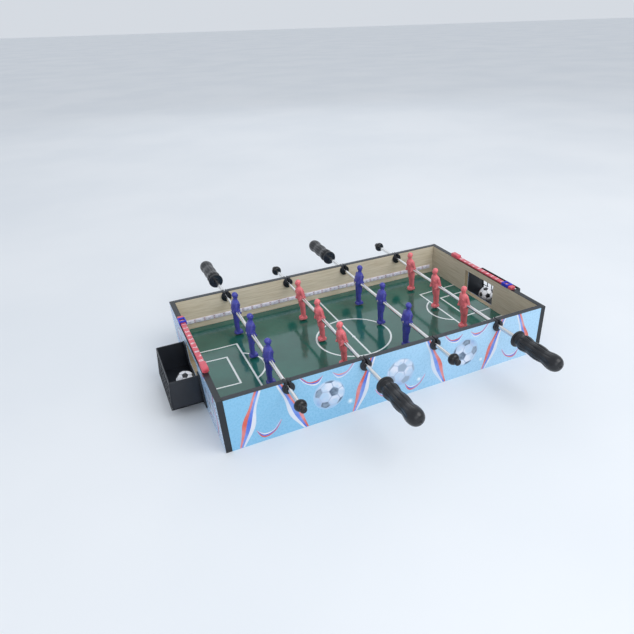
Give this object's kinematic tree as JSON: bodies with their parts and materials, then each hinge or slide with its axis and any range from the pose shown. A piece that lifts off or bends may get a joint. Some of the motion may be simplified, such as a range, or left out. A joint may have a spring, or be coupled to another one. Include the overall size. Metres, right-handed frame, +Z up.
{
  "type": "tabletop foosball table",
  "caption": "Tabletop foosball game: an open box with a playing field, sliding and spinning rods that carry player figures, a goal box at each end and score rails.",
  "frame": {"origin": "centre of the table's footprint, on the surface that it stands on", "axes": "+X along the table towards the right goal, +Y across the table along the rods, +Z up"},
  "size_m": [0.6026, 0.5944, 0.1015],
  "materials": {
    "panel": "printed film outside, light oak film inside, black edges",
    "field": "glossy printed green",
    "batten": "raw pine",
    "steel": "polished tube",
    "black_plastic": "satin black",
    "blue_player": "satin violet blue",
    "red_player": "satin coral red",
    "ball": "white with black patches",
    "red_rail": "red with white number cells",
    "blue_slider": "satin blue",
    "light_strip": "translucent white",
    "switch": "satin white",
    "cell": "foil wrapper"
  },
  "bodies": {
    "table": {"front_panel": "panel", "back_panel": "panel", "left_end_panel": "panel", "right_end_panel": "panel", "field_board": "field", "front_batten": "batten", "back_batten": "batten", "bushing_1_front": "black_plastic", "bushing_1_back": "black_plastic", "bushing_2_front": "black_plastic", "bushing_2_back": "black_plastic", "bushing_3_front": "black_plastic", "bushing_3_back": "black_plastic", "bushing_4_front": "black_plastic", "bushing_4_back": "black_plastic", "goal_box_left": "black_plastic", "goal_net_left": "black_plastic", "score_rail_left": "red_rail", "goal_box_right": "black_plastic", "goal_net_right": "black_plastic", "score_rail_right": "red_rail", "light_strip_front": "light_strip", "light_strip_back": "light_strip", "battery_box": "black_plastic", "cell_1": "cell", "cell_2": "cell", "cell_3": "cell"},
    "rod_1": {"rod_1": "steel"},
    "team_1": {"player_1a": "blue_player", "player_1b": "blue_player", "player_1c": "blue_player", "handle_1": "black_plastic", "end_cap_1": "black_plastic"},
    "rod_2": {"rod_2": "steel"},
    "team_2": {"player_2a": "red_player", "player_2b": "red_player", "player_2c": "red_player", "handle_2": "black_plastic", "end_cap_2": "black_plastic"},
    "rod_3": {"rod_3": "steel"},
    "team_3": {"player_3a": "blue_player", "player_3b": "blue_player", "player_3c": "blue_player", "handle_3": "black_plastic", "end_cap_3": "black_plastic"},
    "rod_4": {"rod_4": "steel"},
    "team_4": {"player_4a": "red_player", "player_4b": "red_player", "player_4c": "red_player", "handle_4": "black_plastic", "end_cap_4": "black_plastic"},
    "score_slider_left": {"score_slider_left": "blue_slider"},
    "score_slider_right": {"score_slider_right": "blue_slider"},
    "ball_left": {"ball_left": "ball"},
    "ball_right": {"ball_right": "ball"},
    "battery_cover": {"battery_cover": "black_plastic"},
    "light_switch": {"light_switch": "switch"}
  },
  "joints": [
    {"name": "rod_1_slide", "type": "slide", "parent": "table", "child": "rod_1", "axis": [0, 1, 0], "range_m": [-0.056, 0.034]},
    {"name": "rod_1_spin", "type": "hinge", "parent": "rod_1", "child": "team_1", "pos_m": [-0.1641, 0, 0.0715], "axis": [0, 1, 0], "continuous": true},
    {"name": "rod_2_slide", "type": "slide", "parent": "table", "child": "rod_2", "axis": [0, 1, 0], "range_m": [-0.042, 0.048]},
    {"name": "rod_2_spin", "type": "hinge", "parent": "rod_2", "child": "team_2", "pos_m": [-0.0547, 0, 0.0715], "axis": [0, 1, 0], "continuous": true},
    {"name": "rod_3_slide", "type": "slide", "parent": "table", "child": "rod_3", "axis": [0, 1, 0], "range_m": [-0.053, 0.037]},
    {"name": "rod_3_spin", "type": "hinge", "parent": "rod_3", "child": "team_3", "pos_m": [0.0547, 0, 0.0715], "axis": [0, 1, 0], "continuous": true},
    {"name": "rod_4_slide", "type": "slide", "parent": "table", "child": "rod_4", "axis": [0, 1, 0], "range_m": [-0.051, 0.039]},
    {"name": "rod_4_spin", "type": "hinge", "parent": "rod_4", "child": "team_4", "pos_m": [0.1641, 0, 0.0715], "axis": [0, 1, 0], "continuous": true},
    {"name": "score_left_slide", "type": "slide", "parent": "table", "child": "score_slider_left", "axis": [0, -1, 0], "range_m": [0, 0.126]},
    {"name": "score_right_slide", "type": "slide", "parent": "table", "child": "score_slider_right", "axis": [0, 1, 0], "range_m": [0, 0.126]},
    {"name": "ball_left_lift", "type": "slide", "parent": "table", "child": "ball_left", "axis": [0, 0, 1], "range_m": [0, 0.06]},
    {"name": "ball_right_lift", "type": "slide", "parent": "table", "child": "ball_right", "axis": [0, 0, 1], "range_m": [0, 0.06]},
    {"name": "battery_cover_slide", "type": "slide", "parent": "table", "child": "battery_cover", "axis": [1, 0, 0], "range_m": [0, 0.054]},
    {"name": "light_switch_slide", "type": "slide", "parent": "table", "child": "light_switch", "axis": [1, 0, 0], "range_m": [0, 0.003]}
  ]
}
